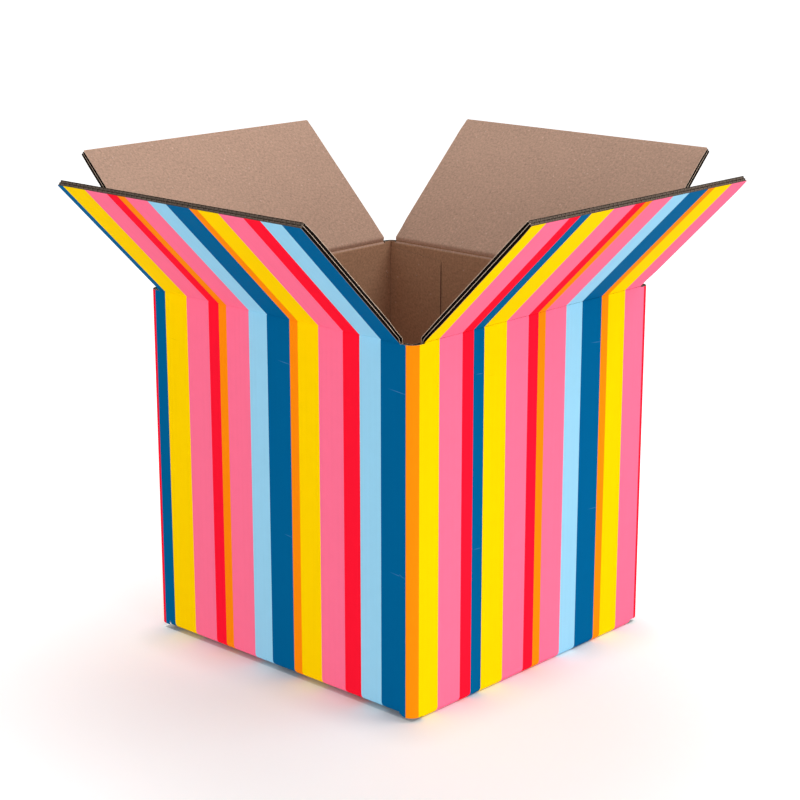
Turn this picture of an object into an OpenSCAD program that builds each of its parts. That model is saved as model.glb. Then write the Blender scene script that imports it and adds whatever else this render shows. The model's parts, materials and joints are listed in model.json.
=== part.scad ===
// An open shipping box of double-wall fluted board. The four walls, the glued bottom and the glue tab
// are one folded sheet, and each top flap turns on its own crease. Front is -Y, right is +X, up is +Z.

/* [Box] */
// Outside width, from the left wall to the right wall
box_w = 410; // [320:1:600]
// Outside depth, from the front wall to the rear wall
box_d = 406; // [320:1:600]
// Height of the front and rear flaps' outside creases above the floor
crease_z = 415; // [200:1:600]
// Outside radius of the upright folded corners
corner_r = 12; // [8:0.5:14]
// Flat facets that an upright corner turns through, one for each flute that the fold crosses
corner_facets = 6; // [3:1:10]

/* [Board] */
// Thickness of the double-wall board
board_t = 6.8; // [6.4:0.1:7.2]
// Thickness of each of the three flat liners
liner_t = 0.4; // [0.3:0.05:0.5]
// Thickness of each of the two fluted sheets
medium_t = 0.35; // [0.25:0.05:0.45]
// Share of the flutes' height that the outer row takes
outer_share = 0.55; // [0.4:0.05:0.65]
// Length of one wave of the outer row of flutes
outer_wave_l = 7.9; // [7:0.1:12]
// Length of one wave of the inner row of flutes
inner_wave_l = 6.4; // [6:0.1:10]

/* [Top flaps] */
// Distance from the box's outside corner to a flap's side edge
flap_inset = 18.5; // [16:0.5:30]
// Gap left between the tips of two facing flaps when they are shut flat
tip_gap = 11; // [8:1:80]
// Angle at which the flaps lean outward from upright
flap_lean = 45; // [35:1:60]
// Depth of the corner notches below the crease
notch_depth = 0.5; // [0.5:0.5:6]
// Height of the left and right creases above the front and rear ones
side_rise = 1; // [0.5:0.1:2]

/* [Score] */
// Depth of the front and rear hinge lines inside the board's outer face
front_hinge_depth = 1; // [0.8:0.1:1.4]
// Depth of the left and right hinge lines, whose flaps shut over the other two
side_hinge_depth = 2.8; // [2.4:0.1:3.2]
// Angle between the board and the crushed slope on the inside of a score
inner_slope = 38; // [32:1:39]
// Angle between the board and the crushed slope on the outside of a score
outer_slope = 20; // [16:1:21]
// Radius of the bead of pressed paper that runs along a flap's hinge line
bead_r = 0.8; // [0.6:0.05:0.9]
// Gap between a flap's bead and the wall's crushed edge
score_gap = 0.2; // [0.15:0.05:0.4]
// Length of pressed board between the hinge line and the first open flutes
score_l = 12; // [12:0.5:20]

/* [Bottom] */
// Gap between the tips of two facing bottom flaps
bottom_seam = 4; // [2:0.5:20]
// Outside radius of the bottom folds
bottom_r = 8; // [7.5:0.5:10]
// Flat facets that a bottom fold turns through
bottom_facets = 5; // [3:1:10]
// Height of the front and rear bottom folds above the floor
front_lift = 3; // [1:0.5:5]
// Height of the cut lower ends of the corners above the floor
corner_lift = 4.5; // [3:0.5:10]

/* [Glue tab] */
// Width of the tab that joins the left wall to the inside of the rear wall
tab_w = 86; // [35:1:110]
// Thickness of the tab, pressed by the glueing
tab_t = 2.6; // [1.5:0.1:4]
// Distance of the tab's free end below the crease
tab_drop = 19; // [14:1:40]
// Height by which the tab's slanted ends widen it towards the corner
tab_slant = 8; // [2:1:12]
// Width of the seam that the rear wall's cut edge leaves at the glued corner
seam_w = 0.8; // [0.4:0.1:2]

/* [Hidden] */

// The walls in the order in which they are folded
WALLS = ["front", "right", "rear", "left"];

kraft = "#b08e78";
kraft_shade = "#8a6a52";

// The layers of the board, from its outer face inward
flute_room = board_t - 3 * liner_t;
outer_flute = flute_room * outer_share;
inner_flute = flute_room - outer_flute;
outer_top = liner_t;
inner_top = 2 * liner_t + outer_flute;

// All four flaps are cut to one length, which leaves the tip gap on the shorter way across the box
flap_reach = (min(box_w, box_d) - tip_gap) / 2 - side_hinge_depth;
nose_drop = bead_r + score_gap;
bead_facets = 8;

// Each wall runs on into the corners by the lap, and the corners stand clear of the flaps by the slot
post_lap = 1;
slot_w = 0.5;

// At the glued corner the rear wall ends at the sheet's cut edge, just before the left wall's fold
seam_inset = corner_r + seam_w;

// The front and rear bottom flaps climb onto the other two just before the edges of those
climb_room = 0.5;
climb_end = flap_inset - post_lap - climb_room;
climb_rate = (board_t - front_lift) / (climb_end - bottom_r);
climb_height = board_t * sqrt(1 + climb_rate * climb_rate);
climb_top = bottom_r + (2 * board_t - climb_height - front_lift) / climb_rate;

post_top = crease_z - notch_depth;

// The tab stands clear of the bottom flaps and is pressed into the two walls that it joins
tab_room = 2;
tab_foot = 2 * board_t + tab_slant + tab_room;
glue_bite = 1;

// Board left behind the seam, and the room by which the seam's cut passes the wall's outer face
seam_web = 1.5;
cut_room = 1;

function is_side(wall) = wall == "left" || wall == "right";
function turn(wall) = wall == "right" ? 90 : wall == "rear" ? 180 : wall == "left" ? 270 : 0;
function wall_length(wall) = is_side(wall) ? box_d : box_w;
function half_depth(wall) = (is_side(wall) ? box_w : box_d) / 2;
function seam_reach(wall) = wall == "rear" ? flap_inset - seam_inset - slot_w : 0;
function flap_span(wall) = wall_length(wall) - 2 * flap_inset + seam_reach(wall);
function flap_middle(wall) = seam_reach(wall) / 2;
function end_lap(wall) = wall == "rear" ? slot_w + seam_w / 2 : post_lap;
function is_glued(x_side, y_side) = x_side < 0 && y_side > 0;
function hinge_depth(wall) = is_side(wall) ? side_hinge_depth : front_hinge_depth;
function rise(wall) = is_side(wall) ? side_rise : 0;
function hinge_z(wall) = crease_z + rise(wall) + hinge_depth(wall) * tan(flap_lean / 2);

// Points of an arc, first and last included
function arc(centre, r, from, to, facets) =
    [for (i = [0 : facets]) centre + r * [cos(from + (to - from) * i / facets), sin(from + (to - from) * i / facets)]];

// Outlines across a wall, as [depth inward from the outer face, height]
function score_edge(wall) =
    let (depth = hinge_depth(wall), axis = hinge_z(wall), inner = board_t - depth)
    [
        [0, axis - depth / tan(outer_slope)],
        [depth - nose_drop * tan(outer_slope), axis - nose_drop],
        [depth + nose_drop * tan(inner_slope), axis - nose_drop],
        [board_t, axis - inner / tan(inner_slope)]
    ];

// A bottom flap that lies on the floor
function side_bottom() =
    let (tip = box_w / 2 - bottom_seam / 2)
    concat(
        [[board_t, board_t], [tip, board_t], [tip, 0]],
        arc([bottom_r, bottom_r], bottom_r, 270, 180, bottom_facets)
    );

// A bottom flap that folds just above the floor and climbs onto the other pair
function front_bottom() =
    let (tip = box_d / 2 - bottom_seam / 2)
    concat(
        [
            [board_t, front_lift + climb_height + (board_t - bottom_r) * climb_rate],
            [climb_top, 2 * board_t],
            [tip, 2 * board_t],
            [tip, board_t],
            [climb_end, board_t]
        ],
        arc([bottom_r, front_lift + bottom_r], bottom_r, 270, 180, bottom_facets)
    );

function wall_outline(wall) = concat(score_edge(wall), is_side(wall) ? side_bottom() : front_bottom());

// Outline of a flap's pressed root, as [depth, height] from the hinge line
function root_outline(depth) =
    let (inner = board_t - depth)
    concat(
        [[-depth, score_l], [-depth, depth / tan(outer_slope)]],
        arc([0, 0], bead_r, 90 + outer_slope, 450 - inner_slope, bead_facets),
        [[inner, inner / tan(inner_slope)], [inner, score_l]]
    );

// One row of flutes: [number of flutes, pitch, half a sheet's width across, height of a crest's paper]
function flute_row(span, pitch, height) =
    let (
        count = round(span / pitch),
        fitted = span / count,
        half = medium_t * sqrt(height * height + fitted * fitted / 4) / height / 2
    )
    [count, fitted, half, 2 * height * half / fitted];

// The closed channels of a row, as triangles that stand on one liner and then on the other
function channels(span, row, top, height) =
    let (count = row[0], pitch = row[1], half = row[2], crest = row[3], start = -span / 2)
    concat(
        [for (i = [0 : count - 1]) let (x = start + i * pitch)
            [[x + half, top + height], [x + pitch / 2, top + crest], [x + pitch - half, top + height]]],
        [for (i = [1 : count - 1]) let (x = start + i * pitch)
            [[x - pitch / 2 + half, top], [x, top + height - crest], [x + pitch / 2 - half, top]]]
    );

// The half channel that a side edge cuts open, as points down the edge at x = span / 2
function open_channel(span, row, top, height) =
    [[span / 2, top], [span / 2 - row[1] / 2 + row[2], top], [span / 2, top + height - row[3]]];

function mirrored(points) = [for (i = [len(points) - 1 : -1 : 0]) [-points[i].x, points[i].y]];

// Stands a [depth, height] outline along a wall
module along_wall(length) {
    rotate([90, 0, 90])
        linear_extrude(height = length, center = true)
            children();
}

// Places a shape that is drawn with the wall's outer face at y = 0 and the box's inside towards +Y
module on_wall(wall) {
    rotate([0, 0, turn(wall)])
        translate([0, -half_depth(wall), 0])
            children();
}

// The cut end of the board, with every channel of its two rows of flutes open
module board_section(span) {
    outer = flute_row(span, outer_wave_l, outer_flute);
    inner = flute_row(span, inner_wave_l, inner_flute);
    edge = concat(
        [[span / 2, 0]],
        open_channel(span, outer, outer_top, outer_flute),
        open_channel(span, inner, inner_top, inner_flute),
        [[span / 2, board_t]]
    );
    rim = concat(edge, mirrored(edge));
    holes = concat(
        channels(span, outer, outer_top, outer_flute),
        channels(span, inner, inner_top, inner_flute)
    );
    hole_paths = [for (i = [0 : len(holes) - 1]) [for (j = [0 : 2]) len(rim) + 3 * i + j]];
    polygon(
        points = concat(rim, [for (hole = holes) each hole]),
        paths = concat([[for (i = [0 : len(rim) - 1]) i]], hole_paths)
    );
}

// A wall between its two corners, with its bottom flap folded under it
module wall_strip(wall) {
    on_wall(wall)
        translate([flap_middle(wall) + (end_lap(wall) - post_lap) / 2, 0, 0])
            along_wall(flap_span(wall) + end_lap(wall) + post_lap)
                polygon(wall_outline(wall));
}

// A folded upright corner, cut short at both ends by the slots between flaps
module corner_post(x_side, y_side) {
    y_arm = flap_inset - slot_w;
    x_arm = is_glued(x_side, y_side) ? seam_inset : y_arm;
    fold = arc([corner_r, corner_r], corner_r, 270, 180, corner_facets);
    inner = [[0, y_arm], [board_t, y_arm], [board_t, board_t], [x_arm, board_t]];
    outline = concat([[x_arm, 0]], fold, inner);
    translate([0, 0, corner_lift])
        linear_extrude(height = post_top - corner_lift)
            polygon([for (p = outline) [x_side * (box_w / 2 - p.x), y_side * (box_d / 2 - p.y)]]);
}

// The tab on the inside of the rear wall, with slanted ends
module glue_tab() {
    corner_x = box_w / 2 - board_t + glue_bite;
    free_x = corner_x - glue_bite - tab_w;
    free_z = crease_z - tab_drop;
    on_wall("rear")
        translate([0, board_t + tab_t, 0])
            rotate([90, 0, 0])
                linear_extrude(height = tab_t + glue_bite)
                    polygon([
                        [free_x, tab_foot],
                        [corner_x, tab_foot - tab_slant],
                        [corner_x, free_z + tab_slant],
                        [free_x, free_z]
                    ]);
}

// The upright seam where the rear wall's cut edge meets the left wall's fold
module corner_seam() {
    on_wall("rear")
        translate([box_w / 2 - seam_inset, -cut_room, 0])
            cube([seam_w, board_t - seam_web + cut_room, crease_z]);
}

module box_body() {
    color(kraft_shade)
        difference() {
            union() {
                for (wall = WALLS) wall_strip(wall);
                for (x_side = [-1, 1], y_side = [-1, 1]) corner_post(x_side, y_side);
                glue_tab();
            }
            corner_seam();
        }
}

// A top flap: fluted board with a pressed root that turns on the hinge line
module flap(wall) {
    depth = hinge_depth(wall);
    span = flap_span(wall);
    color(kraft)
        on_wall(wall)
            translate([flap_middle(wall), depth, hinge_z(wall)])
                rotate([flap_lean, 0, 0]) {
                    along_wall(span)
                        polygon(root_outline(depth));
                    translate([0, -depth, score_l])
                        linear_extrude(height = flap_reach - score_l)
                            board_section(span);
                }
}

module front_flap() {
    flap("front");
}

module right_flap() {
    flap("right");
}

module rear_flap() {
    flap("rear");
}

module left_flap() {
    flap("left");
}

box_body();
front_flap();
right_flap();
rear_flap();
left_flap();
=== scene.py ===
import functools
import json
import math

import bmesh
import bpy
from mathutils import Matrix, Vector

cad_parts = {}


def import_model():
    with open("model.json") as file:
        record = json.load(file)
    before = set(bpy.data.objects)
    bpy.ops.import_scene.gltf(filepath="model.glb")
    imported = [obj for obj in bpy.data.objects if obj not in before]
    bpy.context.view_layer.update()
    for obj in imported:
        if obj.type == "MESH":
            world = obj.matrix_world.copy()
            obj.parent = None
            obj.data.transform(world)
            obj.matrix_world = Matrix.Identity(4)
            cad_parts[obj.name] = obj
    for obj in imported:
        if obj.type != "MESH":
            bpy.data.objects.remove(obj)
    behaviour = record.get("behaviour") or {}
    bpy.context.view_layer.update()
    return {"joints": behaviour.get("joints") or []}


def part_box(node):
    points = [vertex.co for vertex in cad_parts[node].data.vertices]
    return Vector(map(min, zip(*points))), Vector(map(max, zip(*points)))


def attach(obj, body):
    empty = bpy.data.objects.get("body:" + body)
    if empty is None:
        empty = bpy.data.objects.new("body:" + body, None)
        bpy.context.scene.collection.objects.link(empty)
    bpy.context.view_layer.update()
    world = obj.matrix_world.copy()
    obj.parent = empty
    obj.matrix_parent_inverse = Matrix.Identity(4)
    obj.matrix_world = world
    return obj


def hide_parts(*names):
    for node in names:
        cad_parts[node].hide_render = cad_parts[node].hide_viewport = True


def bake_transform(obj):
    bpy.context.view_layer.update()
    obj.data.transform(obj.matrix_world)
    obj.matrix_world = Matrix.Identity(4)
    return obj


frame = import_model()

# Sizes are in millimetres, and become metres where meshes, textures and the stage are made
MM = 0.001

# The board: three flat liners with two rows of flutes between them, from the outer face inward
BOARD = 6.8
LINER = 0.42
MEDIUM = 0.35
OUTER_PITCH = 7.9
INNER_PITCH = 6.4
OUTER_FLUTE = (BOARD - 3 * LINER) / 2
MIDDLE = LINER + OUTER_FLUTE
INNER_TOP = MIDDLE + LINER
INNER_FLUTE = BOARD - LINER - INNER_TOP

# The box, whose outside size comes from the frame
_, box_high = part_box("box_body")
HALF_W = box_high[0] / MM
HALF_D = box_high[1] / MM

# The corners: their bend, the height of the posts there, how far down the posts the flutes go, and the slit
# between the inner liners of two walls
CORNER_R = 12
BEND = CORNER_R * math.pi / 2
POST_TOP = 414.5
POST_FLUTES = 40
CORNER_SLIT = 0.3

# How far above the floor the liners end at the corners: the outer one at the corner after each wall, the
# outer one beside the lifted folds of the front and rear walls, and the inner one
CORNER_LIFT = {"front": 4.5, "right": 6.5, "rear": 6.5, "left": 7.5}
FOLD_FOOT = 7.5
INNER_LIFT = 9

# The bottom flaps: the left and right ones lie on the floor, and the front and rear ones on them. The folds
# of the front and rear ones stand off the floor, and those flaps climb to their level just inside the walls
BOTTOM_R = 8
BOTTOM_SEAM = 4
FRONT_LIFT = 5.5
CLIMB_END = 17

# The top flaps, which lean outward: the slope of the crushed outside of their scores, and where the middle
# liner and the flutes start, out from the hinge line
LEAN = math.radians(45)
OUTER_SLOPE = math.radians(20)
MIDDLE_ROOT = 5
FLUTE_ROOT = 12

# The flaps' tips: their cut corners, the last stretch of the flutes, which is painted paler, as painted light
# where light reaches into the cut end, and how far back from the tip the crushed flutes lie
TIP_CORNER = 1.2
LIT_TIP = 3
CRUSHED_TIP = 0.9

# The flaps' cut side edges, where the board is swollen: by what share of its thickness, how far in from the
# edge, from where out from the hinge line, and over what distance the swelling grows. What stays level as
# the board swells is this depth in it on the left and right flaps, and the outer face on the other two
SWELL = 0.15
SWELL_W = 3
SWELL_FROM = 14
SWELL_RISE = 16
SIDE_LEVEL = 0.6 * BOARD

# The inside of a score: the wall's rolled lip, the line pressed beside it, how far above the lip the painted
# shade in the crease, a darker paper, ends, the flap's shoulder, and how far from each corner its rounding
# starts
LIP_TOP = 414.6
LIP_DROP = 3
LIP_W = 2
PRESS_W = 0.9
PRESS_DEPTH = 1
SHADE_TOP = 2.6
SHOULDER = -0.4
INNER_ROLLS = (0.9, 0.6, 0.3, 2.4)

# How far the inner liner of a score runs down the wall and up the flap, and the distances down the wall
# and up the flap that fold() is given for it
SCORE_DOWN = 9
SCORE_UP = 8
BEND_DOWN = 3.5
BEND_UP = 6

# The outside of a score: a line pressed along the crease, and how far from each corner its rounding starts
CREASE_W = 1.4
CREASE_DEPTH = 0.45
OUTER_ROLLS = (0.4, 0.5, 0.4)

# The glue tab inside the rear left corner. Its slanted ends are thinner, over a share of its height
TAB_W = 86
TAB_T = 1.3
TAB_END = 0.5
TAB_TAPER = 0.04
TAB_FOOT = 23.6
TAB_TOP = 399
TAB_SLANT = 8

# Mesh steps, and the angle from which an edge is sharp
ROUND_STEPS = 6
BEND_STEPS = 10
FOLD_STEPS = 10
CREASE_STEPS = 36
WAVE_STEPS = 12
SHARP_EDGE = math.radians(40)

# The print: upright stripes, in order round the outside from the front wall's left corner
PRINT_START = -0.5
STRIPES = (
    ("navy", 17.1), ("yellow", 36.7), ("pink", 36.5), ("red", 16.9), ("orange", 12.4), ("pink", 36),
    ("sky", 28.7), ("navy", 35.2), ("orange", 12.4), ("yellow", 31.2), ("pink", 36.2), ("red", 24.2),
    ("sky", 30.2), ("navy", 35), ("orange", 15.1), ("yellow", 30.3), ("pink", 36), ("red", 17.9),
)
PERIOD = sum(width for _, width in STRIPES)

# A strip of colour narrower than this is left out at a sheet's end
SLIVER = 0.2

# Hairlines rubbed into the print: place round it, distance below the crease, length
SCUFFS = {
    "navy": (
        (378, 52, 34), (379, 252, 32), (211, 50, 26), (213, 247, 18), (498, 51, 16), (497, 246, 16),
        (701, 53, 28), (702, 250, 26), (870, 52, 28), (869, 248, 30),
    ),
    "yellow": ((29, 54, 20), (516, 56, 18)),
}
SCUFF_W = 1.3
SCUFF_TILT = math.radians(5)

# What a hairline adds to the dark blue's colour, and by what share it changes the yellow's
PALE_RUB = (0.05, 0.075, 0.12)
DARK_RUB = -0.12

# What the pale fibres add to the brown paper's colour
PALE_FLECK = (0.13, 0.14, 0.14)

# How rough the printed ink is
INK_ROUGHNESS = 0.55

# The camera sees the floor go over to white away from the box. Each pair is a distance in metres and a
# level: added light from the near corner out, and the share of it that is left from the foot of the walls
# out. The shade at the foot ends this much short of the walls' far ends
NEAR_GLOW = (0.17, 0.26)
FAR_GLOW = (0.68, 0.7)
FOOT_GLOW = (0, 0.45)
CLEAR_GLOW = (0.06, 1)
FOOT_END = 0.045

# How far below the box the floor, the lamp on it and its dark part under the box lie, half of the floor's
# size, and how far inside the walls' outer faces the dark part ends
FLOOR_DROP = 0.3
LAMP_DROP = 0.2
UNDER_DROP = 0.1
FLOOR_HALF = 12000
UNDER_INSET = 4

WALLS = ("front", "right", "rear", "left")


# Paints

def srgb(*levels):
    """A colour given as it shows on a screen, 0 to 255, in linear light."""
    shares = [level / 255 for level in levels]
    return tuple(c / 12.92 if c <= 0.04045 else ((c + 0.055) / 1.055) ** 2.4 for c in shares)


def add_node(tree, kind, values=None, **settings):
    """A new node with its settings, and its inputs by name or number, as values or as sockets to link."""
    node = tree.nodes.new("ShaderNode" + kind)
    for name, value in settings.items():
        setattr(node, name, value)
    for name, value in (values or {}).items():
        if isinstance(value, bpy.types.NodeSocket):
            tree.links.new(value, node.inputs[name])
        else:
            node.inputs[name].default_value = value
    return node


class Paint:
    """A material with one main shader, and short ways to add nodes that read the flat sheet's coordinates."""

    def __init__(self, name, roughness, specular):
        self.material = bpy.data.materials.new(name)
        self.material.use_nodes = True
        self.tree = self.material.node_tree
        self.shader = self.tree.nodes["Principled BSDF"]
        self.shader.inputs["Roughness"].default_value = roughness
        self.shader.inputs["Specular IOR Level"].default_value = specular
        self.flat = self.node("UVMap", uv_map="flat").outputs["UV"]

    def node(self, kind, values=None, **settings):
        return add_node(self.tree, kind, values, **settings)

    def calc(self, operation, a, b=0.0):
        return self.node("Math", {0: a, 1: b}, operation=operation).outputs[0]

    def noise(self, size, detail=2.0, stretch=(1, 1)):
        """Noise about zero, with features of a size in millimetres, stretched along the sheet's axes."""
        scale = (1 / (size * MM * stretch[0]), 1 / (size * MM * stretch[1]), 1)
        spread = self.node("Mapping", {"Vector": self.flat, "Scale": scale})
        noise = self.node("TexNoise", {"Vector": spread.outputs[0], "Scale": 1.0, "Detail": detail})
        return self.calc("SUBTRACT", noise.outputs["Fac"], 0.5)

    def flecks(self, spacing, radius):
        """Ones inside small spots scattered over the sheet, and zeros elsewhere."""
        cells = self.node("TexVoronoi", {"Vector": self.flat, "Scale": 1 / (spacing * MM)})
        return self.calc("LESS_THAN", cells.outputs["Distance"], radius / spacing)

    def ridges(self, pitch):
        """The flutes that show faintly through a liner, from -1 to 1."""
        across = self.node("SeparateXYZ", {0: self.flat}).outputs["X"]
        return self.calc("SINE", self.calc("MULTIPLY", across, 2 * math.pi / (pitch * MM)))

    def scuff(self, across, along, length):
        """A thin line at one place on the sheet, from 0 round it to 1 in its middle."""
        spot = self.node(
            "Mapping",
            {
                "Vector": self.flat,
                "Location": (across * MM, along * MM, 0),
                "Rotation": (0, 0, SCUFF_TILT),
                "Scale": (length / 2 * MM, SCUFF_W / 2 * MM, 1),
            },
            vector_type="TEXTURE",
        )
        return self.node("TexGradient", {0: spot.outputs[0]}, gradient_type="SPHERICAL").outputs["Fac"]

    def total(self, *terms):
        """The sum of sockets, each times its share, on top of one."""
        total = None
        for share, socket in terms:
            part = self.calc("MULTIPLY", socket, share)
            total = self.calc("ADD", part, 1.0 if total is None else total)
        return total

    def colour(self, colour, tone, added=None, share=None):
        """A colour made lighter and darker by a tone about one, with a share of another colour added."""
        mixed = self.node("VectorMath", {0: colour, "Scale": tone}, operation="SCALE").outputs[0]
        if added:
            inputs = {0: added, 1: share, 2: mixed}
            mixed = self.node("VectorMath", inputs, operation="MULTIPLY_ADD").outputs[0]
        self.tree.links.new(mixed, self.shader.inputs["Base Color"])

    def gloss(self, roughness, share, noise):
        """Roughness that varies with a noise."""
        spread = self.calc("ADD", self.calc("MULTIPLY", noise, share), roughness)
        self.tree.links.new(spread, self.shader.inputs["Roughness"])

    def bump(self, height, depth):
        """Relief of a depth in millimetres from a height of about one."""
        relief = self.node("Bump", {"Height": height, "Distance": depth * MM, "Strength": 1.0})
        self.tree.links.new(relief.outputs[0], self.shader.inputs["Normal"])


def printed(name, colour):
    """Ink on a smooth liner, with the flutes faintly showing through as bumps and as painted shade in the
    tone.
    """
    paint = Paint(name, roughness=INK_ROUGHNESS, specular=0.004)
    grain = paint.noise(size=0.7, detail=3)
    cloud = paint.noise(size=18)
    streak = paint.noise(size=3, stretch=(1, 60))
    ridges = paint.ridges(OUTER_PITCH)
    # The ridges' small share in the tone is painted shade of the flutes' washboard relief
    terms = [(0.06, grain), (0.05, cloud), (0.05, streak), (0.004, ridges)]
    scuffs = [paint.scuff(*scuff) for scuff in SCUFFS.get(name, ())]
    if name == "navy":
        rubbed = paint.calc("SUBTRACT", paint.total(*((1, scuff) for scuff in scuffs)), 1.0)
        paint.colour(colour, paint.total(*terms), PALE_RUB, rubbed)
    else:
        paint.colour(colour, paint.total(*terms, *((DARK_RUB, scuff) for scuff in scuffs)))
    paint.gloss(INK_ROUGHNESS, share=0.2, noise=cloud)
    paint.bump(paint.total((0.2, ridges), (0.5, grain)), depth=0.03)
    return paint.material


def kraft(name, colour):
    """Plain brown liner: grain, fibres, clouds, pale and dark flecks, and flutes faintly showing through as
    bumps and as painted shade in the tone.
    """
    paint = Paint(name, roughness=0.9, specular=0.05)
    grain = paint.noise(size=2.6, detail=5)
    speck = paint.noise(size=5, detail=3)
    fibres = paint.noise(size=0.8, stretch=(1, 6))
    cross = paint.noise(size=0.8, stretch=(6, 1))
    cloud = paint.noise(size=40)
    ridges = paint.ridges(INNER_PITCH)
    pale = paint.flecks(spacing=13, radius=1)
    dark = paint.flecks(spacing=27, radius=0.7)
    # The ridges' small share in the tone is painted shade of the flutes' washboard relief
    tone = paint.total(
        (0.75, grain), (0.35, speck), (0.25, fibres), (0.25, cross), (0.12, cloud), (0.004, ridges),
        (-0.3, dark),
    )
    paint.colour(colour, tone, PALE_FLECK, pale)
    paint.bump(paint.total((0.5, grain), (0.3, fibres), (0.1, ridges)), depth=0.06)
    return paint.material


def rough_paper(name, colour):
    """Torn and cut paper: fibres across the cut."""
    paint = Paint(name, roughness=0.95, specular=0.08)
    fibres = paint.noise(size=0.4, detail=3, stretch=(1, 4))
    blotch = paint.noise(size=3)
    paint.colour(colour, paint.total((0.5, fibres), (0.35, blotch)))
    paint.bump(paint.total((1, fibres)), depth=0.05)
    return paint.material


PAINTS = {
    "navy": printed("navy", srgb(0, 95, 147)),
    "sky": printed("sky", srgb(150, 210, 239)),
    "yellow": printed("yellow", srgb(255, 212, 0)),
    "pink": printed("pink", srgb(255, 115, 150)),
    "red": printed("red", srgb(255, 22, 50)),
    "orange": printed("orange", srgb(255, 140, 12)),
    "kraft": kraft("kraft", srgb(206, 170, 149)),
    # A darker copy of the kraft: painted shade on the box's inside, the glue tab, and the crease below the
    # lip
    "deep_kraft": kraft("deep_kraft", srgb(194, 152, 122)),
    "cut": rough_paper("cut", srgb(214, 190, 168)),
    # A dark copy of the cut paper: painted shade on the tips' end faces, the printed liner's rims and the
    # glue tab's rims
    "tip": rough_paper("tip", srgb(72, 61, 53)),
    # A mid-brown copy of the cut paper, painted half shade: painted light on the flutes' last stretch at a
    # cut end, and painted shade on the crushed flutes behind the tips and on the print's side edges
    "flute_end": rough_paper("flute_end", srgb(124, 109, 97)),
    # A near-black copy of the paper: painted shade on the flutes, the middle liners, the liners' backs and
    # some rims inside the board
    "medium": rough_paper("medium", srgb(22, 17, 14)),
}


# Meshes

class Piece:
    """Gathers the sheets of one piece, in millimetres, with each face's paint and place on the flat sheet."""

    def __init__(self, name):
        self.name = name
        self.points = []
        self.faces = []
        self.paints = []
        self.flat = []

    def face(self, corners, paint, flat):
        self.faces.append(corners)
        self.paints.append(paint)
        self.flat.extend(flat)

    def sheet(self, front, back, paint, across, along, back_paint="medium", edge_paint="cut", end_paint=None):
        """A closed sheet between two grids of points. `paint(row, column)` names the paint of a front face,
        and the edge of the last row may have a paint of its own. The back takes the near-black paint unless
        another is given: painted shade inside the board."""
        rows, columns = len(along), len(across)
        base = len(self.points)
        self.points.extend(point for grid in (front, back) for row in grid for point in row)

        def corner(side, spot):
            return base + (side * rows + spot[0]) * columns + spot[1]

        for i in range(rows - 1):
            for j in range(columns - 1):
                ring = ((i, j), (i, j + 1), (i + 1, j + 1), (i + 1, j))
                flat = [(across[c], along[r]) for r, c in ring]
                self.face([corner(0, spot) for spot in ring], paint(i, j), flat)
                self.face([corner(1, spot) for spot in ring[::-1]], back_paint, flat[::-1])
        rim = [(0, j) for j in range(columns)]
        rim += [(i, columns - 1) for i in range(1, rows)]
        rim += [(rows - 1, j) for j in range(columns - 2, -1, -1)]
        rim += [(i, 0) for i in range(rows - 2, 0, -1)]
        for a, b in zip(rim, rim[1:] + rim[:1]):
            flat = [(across[c], along[r]) for r, c in (b, a)]
            deeper = [(x + LINER, y + LINER) for x, y in flat[::-1]]
            at_end = end_paint and a[0] == b[0] == rows - 1
            rim_paint = end_paint if at_end else edge_paint
            self.face([corner(0, b), corner(0, a), corner(1, a), corner(1, b)], rim_paint, flat + deeper)

    def build(self):
        """The piece as an object, smooth but for its sharp edges."""
        mesh = bpy.data.meshes.new(self.name)
        mesh.from_pydata([[c * MM for c in point] for point in self.points], [], self.faces)
        used = sorted(set(self.paints))
        for name in used:
            mesh.materials.append(PAINTS[name])
        for polygon, paint in zip(mesh.polygons, self.paints):
            polygon.material_index = used.index(paint)
            polygon.use_smooth = True
        layer = mesh.uv_layers.new(name="flat")
        for loop, spot in zip(layer.data, self.flat):
            loop.uv = [c * MM for c in spot]
        turned = bmesh.new()
        turned.from_mesh(mesh)
        bmesh.ops.recalc_face_normals(turned, faces=turned.faces)
        turned.to_mesh(mesh)
        turned.free()
        mesh.set_sharp_from_angle(angle=SHARP_EDGE)
        piece = bpy.data.objects.new(self.name, mesh)
        bpy.context.scene.collection.objects.link(piece)
        return piece


def one(paint):
    """A paint that is the same all over."""
    return lambda row, column: paint


# Places on the walls and flaps

def is_side(wall):
    return wall in ("left", "right")


def half_depth(wall):
    """Distance from the box's middle to a wall's outer face."""
    return HALF_W if is_side(wall) else HALF_D


def half_length(wall):
    """Half of a wall's length between the outer faces of the walls beside it."""
    return HALF_D if is_side(wall) else HALF_W


@functools.cache
def flap_ends(wall):
    """Where a wall's flaps start and end along it, by the top flap's node in the frame."""
    axis = 1 if is_side(wall) else 0
    low, high = (corner[axis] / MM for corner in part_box(wall + "_flap"))
    return (low, high) if wall in ("front", "right") else (-high, -low)


def bend_start(wall):
    """Where a wall's straight stretch ends and the corner's bend starts."""
    return half_length(wall) - CORNER_R


def next_wall(wall):
    return WALLS[(WALLS.index(wall) + 1) % len(WALLS)]


def place(wall, u, v, z):
    """The point u along a wall, v inward from its outer face and z up."""
    x, y = u, v - half_depth(wall)
    for _ in range(WALLS.index(wall)):
        x, y = -y, x
    return (x, y, z)


@functools.cache
def hinge(wall):
    """A flap's hinge line: its depth inside the wall's outer face, and its height."""
    joint = next(j for j in frame["joints"] if j["child"] == wall + "_flap")
    x, y, z = (c / MM for c in joint["pos_m"])
    return half_depth(wall) - max(abs(x), abs(y)), z


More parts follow.
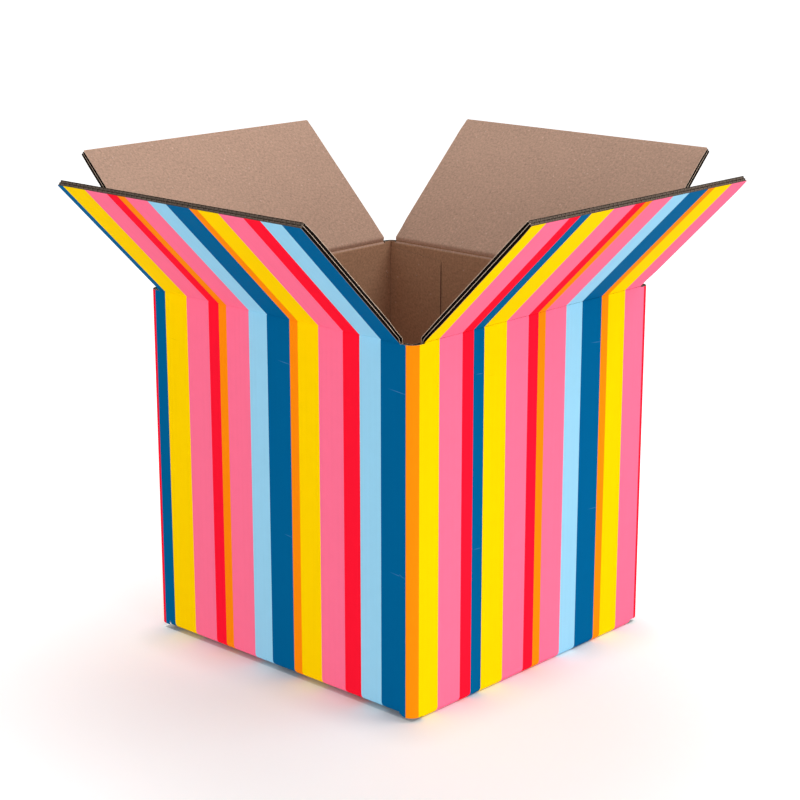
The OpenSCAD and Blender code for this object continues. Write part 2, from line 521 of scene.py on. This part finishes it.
def flap_place(wall, m, s):
    """Across a wall, as (v, z): the point m deep in its flap, and s out from the hinge line."""
    depth, height = hinge(wall)
    v = depth + (m - depth) * math.cos(LEAN) - s * math.sin(LEAN)
    z = height + (m - depth) * math.sin(LEAN) + s * math.cos(LEAN)
    return v, z


@functools.cache
def flap_reach(wall):
    """Length of a flap from its hinge line, by the top of its node in the frame."""
    depth, height = hinge(wall)
    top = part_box(wall + "_flap")[1][2] / MM
    return (top - height - (BOARD - depth) * math.sin(LEAN)) / math.cos(LEAN)


def swell_rows(wall):
    """The places out from the hinge line where a flap's swelling starts, is full, starts to end and ends."""
    end = flap_reach(wall) - LIT_TIP
    return (SWELL_FROM, SWELL_FROM + SWELL_RISE, end - SWELL_RISE, end)


def swell_ends(wall):
    """Where a flap's swollen edges start and end along it."""
    low, high = flap_ends(wall)
    return (low, low + SWELL_W, high - SWELL_W, high)


def swelling(wall, u, s):
    """By what share of its thickness a flap is swollen at a place."""
    low, high = flap_ends(wall)
    start, _, _, end = swell_rows(wall)
    across = 1 - min(u - low, high - u) / SWELL_W
    along = min(1, (s - start) / SWELL_RISE, (end - s) / SWELL_RISE)
    return SWELL * max(0, across) * max(0, along)


def flap_point(wall, u, m, s):
    """The point u along a flap, m deep in it, and s out from the hinge line."""
    level = SIDE_LEVEL if is_side(wall) else 0
    return place(wall, u, *flap_place(wall, m + (m - level) * swelling(wall, u, s), s))


def outer_score(wall):
    """How far the crushed outside of a score runs from the hinge line."""
    return hinge(wall)[0] / math.tan(OUTER_SLOPE)


# The print's colours

def print_middle(wall):
    """The place round the print of the middle of a wall."""
    straight = {name: 2 * bend_start(name) for name in WALLS}
    if wall == "left":
        return -BEND - straight["left"] / 2
    before = WALLS[:WALLS.index(wall)]
    return sum(straight[name] + BEND for name in before) + straight[wall] / 2


def colour_at(across):
    """The colour of the print at a place round it."""
    left = (across - PRINT_START) % PERIOD
    for colour, width in STRIPES:
        if left < width:
            return colour
        left -= width
    # A rounding error at the very end of the last stripe leads here
    return STRIPES[0][0]


def print_cuts(start, end):
    """The places between two others where the print changes colour, with those two."""
    cuts = [start]
    edge = PRINT_START + PERIOD * math.floor((start - PRINT_START) / PERIOD)
    while edge < end:
        for _, width in STRIPES:
            edge += width
            if start + SLIVER < edge < end - SLIVER:
                cuts.append(edge)
    return cuts + [end]


def striped(across):
    """Paint for the columns of a printed sheet."""
    return lambda row, column: colour_at((across[column] + across[column + 1]) / 2)


# Paths

def lengths(path):
    """Distance along a path to each of its points."""
    total = [0.0]
    for a, b in zip(path, path[1:]):
        total.append(total[-1] + math.dist(a, b))
    return total


def resample(path, steps):
    """The same path in even steps."""
    along = lengths(path)
    points = []
    segment = 0
    for k in range(steps + 1):
        target = along[-1] * k / steps
        while segment < len(path) - 2 and along[segment + 1] < target:
            segment += 1
        share = (target - along[segment]) / (along[segment + 1] - along[segment])
        points.append(tuple(a + share * (b - a) for a, b in zip(path[segment], path[segment + 1])))
    return points


def rounded(path, cuts):
    """The path with each corner replaced by a curve, from a cut before it to as far after it."""
    points = [path[0]]
    for before, corner, after, cut in zip(path, path[1:], path[2:], cuts):
        corner = Vector(corner)
        start = corner + (Vector(before) - corner).normalized() * cut
        end = corner + (Vector(after) - corner).normalized() * cut
        for k in range(ROUND_STEPS + 1):
            t = k / ROUND_STEPS
            points.append(tuple((1 - t) ** 2 * start + 2 * t * (1 - t) * corner + t * t * end))
    return points + [path[-1]]


def shifted(path, distance):
    """The path moved sideways, to the right of its direction."""
    points = []
    for k, point in enumerate(path):
        before, after = Vector(path[max(k - 1, 0)]), Vector(path[min(k + 1, len(path) - 1)])
        ahead = (after - before).normalized()
        points.append((point[0] + distance * ahead.y, point[1] - distance * ahead.x))
    return points


def along_wall(wall, path, places):
    """A grid of points: a path of (v, z) at each of the places u along a wall."""
    return [[place(wall, u, v, z) for u in places] for v, z in path]


# The bottom folds and the corners

def bottom_path(wall, m):
    """The sheet m deep in the board, round the bottom fold and out to the bottom flap's tip, as (v, z)."""
    lift = 0 if is_side(wall) else FRONT_LIFT
    level = 0 if is_side(wall) else BOARD
    climb = 0.0
    if not is_side(wall):
        across, down = CLIMB_END - BOTTOM_R, lift + BOTTOM_R - level
        climb = math.pi / 2 - math.atan2(down, across) - math.acos(BOTTOM_R / math.hypot(across, down))
    radius = BOTTOM_R - m
    path = []
    for k in range(FOLD_STEPS + 1):
        angle = (math.pi / 2 + climb) * k / FOLD_STEPS
        path.append((BOTTOM_R - radius * math.cos(angle), lift + BOTTOM_R - radius * math.sin(angle)))
    if climb:
        v, z = path[-1]
        path.append((v + (level + m - z) / math.tan(climb), level + m))
    path.append((half_depth(wall) - BOTTOM_SEAM / 2, level + m))
    return path


def corner_point(wall, t, m, z):
    """The point t round the corner after a wall, from the start of the bend, and m deep in the board, which
    is pressed thinner in the bend, because its inner face folds square."""
    after = next_wall(wall)
    if t < 0:
        return place(wall, bend_start(wall) + t, m, z)
    if t > BEND:
        return place(after, t - BEND - bend_start(after), m, z)
    angle = t / CORNER_R
    thickness = CORNER_R - (CORNER_R - BOARD) / math.cos(min(angle, math.pi / 2 - angle))
    radius = CORNER_R - m * thickness / BOARD
    return place(wall, bend_start(wall) + radius * math.sin(angle), CORNER_R - radius * math.cos(angle), z)


def corner_ends(wall):
    """Where the corner after a wall starts and ends, from the start of the bend. The rear wall is cut off
    there, and leaves a seam."""
    after = next_wall(wall)
    start = 0 if wall == "rear" else flap_ends(wall)[1] - bend_start(wall)
    return start, BEND + bend_start(after) + flap_ends(after)[0]


def corner_foot(wall, t):
    """Height of the outer liner's lower end at the corner after a wall. It meets a lifted fold beside it."""
    on_wall = t < 0 and not is_side(wall)
    on_next = t > BEND and not is_side(next_wall(wall))
    return FOLD_FOOT if on_wall or on_next else CORNER_LIFT[wall]


def corner_print(wall):
    """The place round the print where the corner after a wall starts to bend. The left wall's print comes
    before the front wall's."""
    if wall == "rear":
        return print_middle("left") - bend_start("left") - BEND
    return print_middle(wall) + bend_start(wall)


def wall_cuts(wall):
    """The places round the print where the sheets of a wall and its flaps are cut."""
    middle = print_middle(wall)
    return print_cuts(*(middle + end for end in flap_ends(wall)))


# The box

def fluted_sheet(piece, point, start, end, pitch, top, height, rows):
    """A wavy sheet between two liners. `point(u, m, s)` places it, and its rows are at places s."""
    count = max(1, round((end - start) / pitch))
    swing = (height - MEDIUM) / 2
    steps = count * WAVE_STEPS
    front, back = [], []
    for k in range(steps + 1):
        phase = 2 * math.pi * k / WAVE_STEPS
        rise = -swing * math.sin(phase) * 2 * math.pi * count / (end - start)
        normal = Vector((-rise, 1)).normalized() * MEDIUM / 2
        spot = Vector((start + (end - start) * k / steps, top + height / 2 + swing * math.cos(phase)))
        front.append(spot - normal)
        back.append(spot + normal)

    def grid(wave):
        return [[point(u, m, s) for u, m in wave] for s in rows]

    # The flutes are painted near black, painted shade in their channels, and mid-brown on the last row,
    # painted light where it reaches into the cut end
    def paint(row, column):
        at_end = row == len(rows) - 2 and row > 0
        return "flute_end" if at_end else "medium"

    across = [u for u, _ in front]
    piece.sheet(grid(front), grid(back), paint, across, rows, edge_paint="medium", end_paint="flute_end")


def flutes(piece, point, start, end, rows):
    """Both rows of flutes."""
    fluted_sheet(piece, point, start, end, OUTER_PITCH, LINER, OUTER_FLUTE, rows)
    fluted_sheet(piece, point, start, end, INNER_PITCH, INNER_TOP, INNER_FLUTE, rows)


def box_print():
    """The printed outer liner of the walls, corners and bottom."""
    piece = Piece("box_print")
    for wall in WALLS:
        across = wall_cuts(wall)
        places = [spot - print_middle(wall) for spot in across]
        top = hinge(wall)[1] - outer_score(wall)
        outer = [(0, top)] + bottom_path(wall, 0)
        inner = [(LINER, top)] + bottom_path(wall, LINER)
        along = [length + outer_score(wall) for length in lengths(outer)]
        grids = (along_wall(wall, side, places) for side in (outer, inner))
        # The rims of the printed wall sheet take the dark paint: painted shade
        piece.sheet(*grids, striped(across), across, along, edge_paint="tip")
        start, end = corner_ends(wall)
        origin = corner_print(wall)
        bends = {BEND * k / BEND_STEPS for k in range(BEND_STEPS + 1)}
        cuts = {cut - origin for cut in print_cuts(start + origin, end + origin)}
        turns = sorted(cuts | {bend for bend in bends if start < bend < end})
        across = [turn + origin for turn in turns]
        along = [hinge(wall)[1] - z for z in (POST_TOP, CORNER_LIFT[wall])]
        ends = [[POST_TOP] * len(turns), [corner_foot(wall, t) for t in turns]]
        grids = (
            [[corner_point(wall, t, m, z) for t, z in zip(turns, heights)] for heights in ends]
            for m in (0, LINER)
        )
        piece.sheet(*grids, striped(across), across, along)
    return piece.build()


def box_inside():
    """The plain inner liner of the walls, corners and bottom, in a darker copy of the kraft: painted shade
    inside the box.
    """
    piece = Piece("box_inside")
    for wall in WALLS:
        top = hinge(wall)[1] - SCORE_DOWN
        inner = [(BOARD, top)] + bottom_path(wall, BOARD)
        outer = [(BOARD - LINER, top)] + bottom_path(wall, BOARD - LINER)
        ends = flap_ends(wall)
        grids = (along_wall(wall, side, ends) for side in (inner, outer))
        piece.sheet(*grids, one("deep_kraft"), ends, lengths(inner))
        corner = half_length(wall) - BOARD - CORNER_SLIT
        for ends in ((-corner, ends[0]), (ends[1], corner)):
            heights = (POST_TOP, INNER_LIFT)
            grids = [[[place(wall, u, v, z) for u in ends] for z in heights] for v in (BOARD, BOARD - LINER)]
            piece.sheet(*grids, one("deep_kraft"), ends, [top - z for z in heights])
    return piece.build()


def box_flutes():
    """The fluted inside of the board where the walls' and bottom flaps' cut edges show, painted near black as
    painted shade in the board's channels.
    """
    piece = Piece("box_flutes")
    post_rows = (POST_TOP - POST_FLUTES, POST_TOP - LIT_TIP, POST_TOP - LINER)
    for wall in WALLS:
        ends = flap_ends(wall)
        inner, outer = bottom_path(wall, INNER_TOP), bottom_path(wall, MIDDLE)
        grids = (along_wall(wall, side, ends) for side in (inner, outer))
        piece.sheet(*grids, one("medium"), ends, lengths(inner))
        level = 0 if is_side(wall) else BOARD
        tip = half_depth(wall) - BOTTOM_SEAM / 2

        def bottom(u, m, s):
            return place(wall, u, s, level + m)

        flutes(piece, bottom, *ends, (CLIMB_END + BOTTOM_R, tip - LIT_TIP, tip - LINER))

        def post(t, m, z):
            return corner_point(wall, t, m, z)

        start, end = corner_ends(wall)
        turns = [start + (end - start) * k / BEND_STEPS for k in range(BEND_STEPS + 1)]
        heights = (POST_TOP - POST_FLUTES, POST_TOP - LINER)
        grids = [[[post(t, m, z) for t in turns] for z in heights] for m in (MIDDLE, INNER_TOP)]
        piece.sheet(*grids, one("medium"), turns, heights)
        flutes(piece, post, start, end, post_rows)
    return piece.build()


def glue_tab():
    """The tab of the left wall, pressed and glued on the inside of the rear wall, and thinner at its ends."""
    piece = Piece("glue_tab")
    corner = half_length("rear") - BOARD - CORNER_SLIT
    free = corner - TAB_W
    columns = ((free, 0), (corner, TAB_SLANT))
    rows = ((0, TAB_END), (TAB_TAPER, TAB_T), (1 - TAB_TAPER, TAB_T), (1, TAB_END))
    front, back = [], []
    for share, depth in rows:
        spots = [(u, TAB_TOP + slant - (TAB_TOP - TAB_FOOT + 2 * slant) * share) for u, slant in columns]
        front.append([place("rear", u, BOARD + depth, z) for u, z in spots])
        back.append([place("rear", u, BOARD - LINER / 2, z) for u, z in spots])
    across = [u for u, _ in columns]
    along = [(TAB_TOP - TAB_FOOT) * share for share, _ in rows]
    # The tab takes the darker copy of the kraft, painted shade inside the box, and its rims the dark paint, a
    # painted shadow line along its free edge
    piece.sheet(front, back, one("deep_kraft"), across, along, back_paint="deep_kraft", edge_paint="tip")
    return piece.build()


# The top flaps and their creases

def flap_liner(piece, wall, root, across, middle, paint, front_m, back_m, edge_paint):
    """A flat liner of a flap from its root, between two depths, with the tip's corners cut slightly."""
    reach = flap_reach(wall)
    low, high = flap_ends(wall)
    rows = [(s, 0) for s in (root, *swell_rows(wall), reach - TIP_CORNER)] + [(reach, TIP_CORNER)]

    def grid(m):
        return [
            [flap_point(wall, max(low + cut, min(high - cut, spot - middle)), m, s) for spot in across]
            for s, cut in rows
        ]

    along = [-s for s, _ in rows]
    # The tip's end face takes the dark paint: painted shade along the tip
    piece.sheet(grid(front_m), grid(back_m), paint, across, along, edge_paint=edge_paint, end_paint="tip")


def flap_print(wall):
    """A top flap's printed outer liner."""
    piece = Piece(wall + "_flap_print")
    middle = print_middle(wall)
    across = sorted({*wall_cuts(wall), *(middle + end for end in swell_ends(wall))})
    # The print's cut side edges take the mid-brown paint: painted shade on the pale cut edge
    flap_liner(piece, wall, outer_score(wall), across, middle, striped(across), 0, LINER, "flute_end")
    return piece.build()


def flap_inside(wall):
    """A top flap's plain inner liner."""
    piece = Piece(wall + "_flap_inside")
    flap_liner(piece, wall, SCORE_UP, swell_ends(wall), 0, one("kraft"), BOARD, BOARD - LINER, "cut")
    return piece.build()


def flap_flutes(wall):
    """A top flap's middle liner and its two rows of flutes, open at the cut edges and crushed at the tip.
    They are painted near black, painted shade inside the board, and the crushed flutes mid-brown, painted
    half shade.
    """
    piece = Piece(wall + "_flap_flutes")
    reach = flap_reach(wall)
    flap_liner(piece, wall, MIDDLE_ROOT, swell_ends(wall), 0, one("medium"), INNER_TOP, MIDDLE, "cut")

    def point(u, m, s):
        return flap_point(wall, u, m, s)

    low, high = flap_ends(wall)
    ends = (low + TIP_CORNER / 2, high - TIP_CORNER / 2)
    flutes(piece, point, *ends, (FLUTE_ROOT, *swell_rows(wall), reach - LINER / 2))
    # The crushed flutes behind the tip take the mid-brown paint, painted half shade, and their rims the
    # near-black paint, painted shade
    for depths in ((LINER, MIDDLE), (INNER_TOP, BOARD - LINER)):
        outer, inner = (
            [[point(u, m, reach - back) for u in ends] for m in depths] for back in (CRUSHED_TIP, LIT_TIP)
        )
        piece.sheet(outer, inner, one("flute_end"), ends, depths, edge_paint="medium")
    return piece.build()


def crease_sheet(piece, wall, path, thickness, paint, across, edge_paint):
    """A liner that bends over a score, along a path of (v, z) from the wall to the flap."""
    back = shifted(path, thickness)
    height = hinge(wall)[1]
    along = [height - path[0][1] - length for length in lengths(path)]
    grids = (along_wall(wall, side, across) for side in (path, back))
    piece.sheet(*grids, paint, across, along, edge_paint=edge_paint)


def crease_print(wall):
    """The printed liner where a flap folds."""
    piece = Piece(wall + "_crease_print")
    depth, height = hinge(wall)
    score = outer_score(wall)
    drop = depth * math.tan(LEAN / 2)
    path = [
        (0, height - score),
        (0, height - drop - CREASE_W),
        (CREASE_DEPTH, height - drop),
        flap_place(wall, 0, CREASE_W - drop),
        flap_place(wall, 0, score),
    ]
    path = rounded(path, OUTER_ROLLS)
    cuts = wall_cuts(wall)
    across = [spot - print_middle(wall) for spot in cuts]
    # The rims at the crease's ends take the near-black paint: painted shade
    crease_sheet(piece, wall, resample(path, CREASE_STEPS), LINER, striped(cuts), across, "medium")
    return piece.build()


def crease_inside(wall):
    """The inner and middle liners where a flap folds: the wall's lip, a pressed line, the flap's shoulder."""
    piece = Piece(wall + "_crease_inside")
    depth, height = hinge(wall)
    press = BOARD - LIP_W - PRESS_W
    path = [
        (BOARD, height - SCORE_DOWN),
        (BOARD, LIP_TOP - LIP_DROP),
        (BOARD - LIP_W, LIP_TOP),
        (press, LIP_TOP - PRESS_DEPTH),
        flap_place(wall, BOARD, SHOULDER),
        flap_place(wall, BOARD, SCORE_UP),
    ]
    path = resample(rounded(path, INNER_ROLLS), 2 * CREASE_STEPS)

    # The lip takes the flaps' lighter kraft, a painted highlight; the pressed line, the shoulder's foot and
    # the wall below take the darker copy, painted shade in the crease
    def paint(row, column):
        v, z = path[row]
        on_lip = press + PRESS_W / 2 < v < BOARD - LIP_W / 4
        return "kraft" if on_lip or z > LIP_TOP + SHADE_TOP else "deep_kraft"

    crease_sheet(piece, wall, path, -LINER, paint, flap_ends(wall), "cut")
    root = flap_place(wall, INNER_TOP, MIDDLE_ROOT)
    path = rounded([(INNER_TOP, height - MIDDLE_ROOT), (depth + LINER / 2, height), root], (LINER,))
    # The middle liner takes the near-black paint: painted shade inside the board
    crease_sheet(piece, wall, resample(path, CREASE_STEPS), -LINER, one("medium"), flap_ends(wall), "cut")
    return piece.build()


def fold(piece, wall, down, up):
    """Bakes a piece's place into its mesh, and works out its points a distance down the wall and one up the
    flap. It does not bend the piece between the box and the flap.
    """
    depth, height = hinge(wall)
    below = place(wall, 0, depth, height - down)
    above = place(wall, 0, depth - up * math.sin(LEAN), height + up * math.cos(LEAN))
    start, end = (tuple(c * MM for c in point) for point in (below, above))
    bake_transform(piece)
    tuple(start)
    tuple(end)


def build_box():
    """All pieces of the part: the box's and the flaps' on their bodies, and the creases on none."""
    body = box_print()
    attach(body, "box")
    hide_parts("box_body")
    for piece in (box_inside(), box_flutes(), glue_tab()):
        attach(piece, "box")
    for wall in WALLS:
        flap = wall + "_flap"
        cover = flap_print(wall)
        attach(cover, flap)
        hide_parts(flap)
        for piece in (flap_inside(wall), flap_flutes(wall)):
            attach(piece, flap)
        bend = 2 * hinge(wall)[0]
        fold(crease_print(wall), wall, bend, bend)
        fold(crease_inside(wall), wall, BEND_DOWN, BEND_UP)


# The stage

def stepped(tree, distance, near, far, **settings):
    """A level that changes between two ends, each a distance and the level there."""
    ends = dict(zip(("From Min", "To Min", "From Max", "To Max"), (*near, *far)))
    return add_node(tree, "MapRange", {"Value": distance, **ends}, **settings).outputs["Result"]


def math_node(tree, operation, a, b):
    return add_node(tree, "Math", {0: a, 1: b}, operation=operation).outputs[0]


def vector_node(tree, operation, a, b=(0, 0, 0), output=0):
    return add_node(tree, "VectorMath", {0: a, 1: b}, operation=operation).outputs[output]


def floor_glow(tree):
    """Light that the camera sees on the floor, from the near corner of the box out, and less at the foot of
    the front and right walls, but for a short stretch at their far ends."""
    spot = add_node(tree, "TexCoord").outputs["Object"]
    corner = (HALF_W * MM, -HALF_D * MM, 0)
    away = vector_node(tree, "DISTANCE", spot, corner, "Value")
    fade = stepped(tree, away, NEAR_GLOW, FAR_GLOW, interpolation_type="SMOOTHSTEP")
    inset = FOOT_END / 2
    middle = (inset, -inset, 0)
    half = (HALF_W * MM - inset, HALF_D * MM - inset, 0)
    outward = vector_node(tree, "ABSOLUTE", vector_node(tree, "SUBTRACT", spot, middle))
    beyond = vector_node(tree, "SUBTRACT", outward, half)
    foot = vector_node(tree, "LENGTH", vector_node(tree, "MAXIMUM", beyond), output="Value")
    glow = math_node(tree, "MULTIPLY", fade, stepped(tree, foot, FOOT_GLOW, CLEAR_GLOW))
    path = add_node(tree, "LightPath").outputs
    seen = math_node(tree, "MAXIMUM", path["Is Camera Ray"], path["Is Glossy Ray"])
    seen = math_node(tree, "MAXIMUM", seen, path["Is Transmission Ray"])
    return math_node(tree, "MULTIPLY", seen, glow)


def ground(name, half_x, half_y, drop):
    """A level piece of pale floor, which keeps its shadows, and its material's nodes."""
    mesh = bpy.data.meshes.new(name)
    corners = [(x * half_x, y * half_y, -drop) for x, y in ((-1, -1), (1, -1), (1, 1), (-1, 1))]
    mesh.from_pydata([[c * MM for c in corner] for corner in corners], [], [(0, 1, 2, 3)])
    material = bpy.data.materials.new(name)
    material.use_nodes = True
    shader = material.node_tree.nodes["Principled BSDF"]
    shader.inputs["Base Color"].default_value = (0.9, 0.9, 0.9, 1)
    shader.inputs["Roughness"].default_value = 0.9
    shader.inputs["Specular IOR Level"].default_value = 0.1
    mesh.materials.append(material)
    level = bpy.data.objects.new(name, mesh)
    bpy.context.scene.collection.objects.link(level)
    return material.node_tree


def floor():
    """The floor, and the dark part of it under the box, which shows through the bottom's corner slots."""
    ground("floor_under", HALF_W - UNDER_INSET, HALF_D - UNDER_INSET, UNDER_DROP)
    tree = ground("floor", FLOOR_HALF, FLOOR_HALF, FLOOR_DROP)
    shader = tree.nodes["Principled BSDF"]
    shader.inputs["Emission Color"].default_value = (1, 1, 1, 1)
    tree.links.new(floor_glow(tree), shader.inputs["Emission Strength"])


def world(side, top):
    """Soft light from all round, brighter from the sides than from the top. The camera sees it as white."""
    sky = bpy.data.worlds.new("studio")
    sky.use_nodes = True
    tree = sky.node_tree
    shade = tree.nodes["Background"]
    shade.inputs["Color"].default_value = (1, 1, 1, 1)
    aim = add_node(tree, "TexCoord").outputs["Generated"]
    up = add_node(tree, "SeparateXYZ", {0: aim}).outputs["Z"]
    light = stepped(tree, up, (0, side), (1, top))
    path = add_node(tree, "LightPath").outputs
    seen = math_node(tree, "MAXIMUM", path["Is Camera Ray"], path["Is Transmission Ray"])
    level = add_node(tree, "Mix", {"Factor": seen, "A": light, "B": 1.0})
    tree.links.new(level.outputs["Result"], shade.inputs["Strength"])
    bpy.context.scene.world = sky


def lamp(name, spot, target, size, power):
    """A round lamp that the camera does not see. Its place and size are in metres, its power in watts."""
    light = bpy.data.lights.new(name, "AREA")
    light.shape = "DISK"
    light.size = size
    light.energy = power
    holder = bpy.data.objects.new(name, light)
    holder.location = spot
    holder.rotation_euler = (Vector(target) - Vector(spot)).to_track_quat("-Z", "Y").to_euler()
    holder.visible_camera = False
    bpy.context.scene.collection.objects.link(holder)


def camera():
    """The photograph's view, fitted to the box's corners and the flaps' tips."""
    lens, azimuth, elevation = 90.37, math.radians(42.831), math.radians(15.462)
    view = bpy.data.cameras.new("camera")
    view.lens = lens
    view.sensor_width = 36
    view.clip_end = 100
    holder = bpy.data.objects.new("camera", view)
    holder.location = (1.5354, -1.6571, 0.9040)
    holder.rotation_euler = (math.pi / 2 - elevation, 0, azimuth)
    bpy.context.scene.collection.objects.link(holder)
    bpy.context.scene.camera = holder


build_box()
floor()
world(side=0.65, top=0.35)
lamp("key", spot=(3.5, -0.9, 0.2), target=(0, 0, 0.3), size=2.2, power=79)
lamp("fill", spot=(-0.9, -3.5, 0.2), target=(0, 0, 0.3), size=2.2, power=45)
lamp("high", spot=(1.7, 1.3, 3.0), target=(0, 0, 0.4), size=2.0, power=34)
lamp("low", spot=(0, 0, -LAMP_DROP * MM), target=(0, 0, 1), size=8, power=31)
camera()
bpy.context.scene.view_settings.view_transform = "Standard"
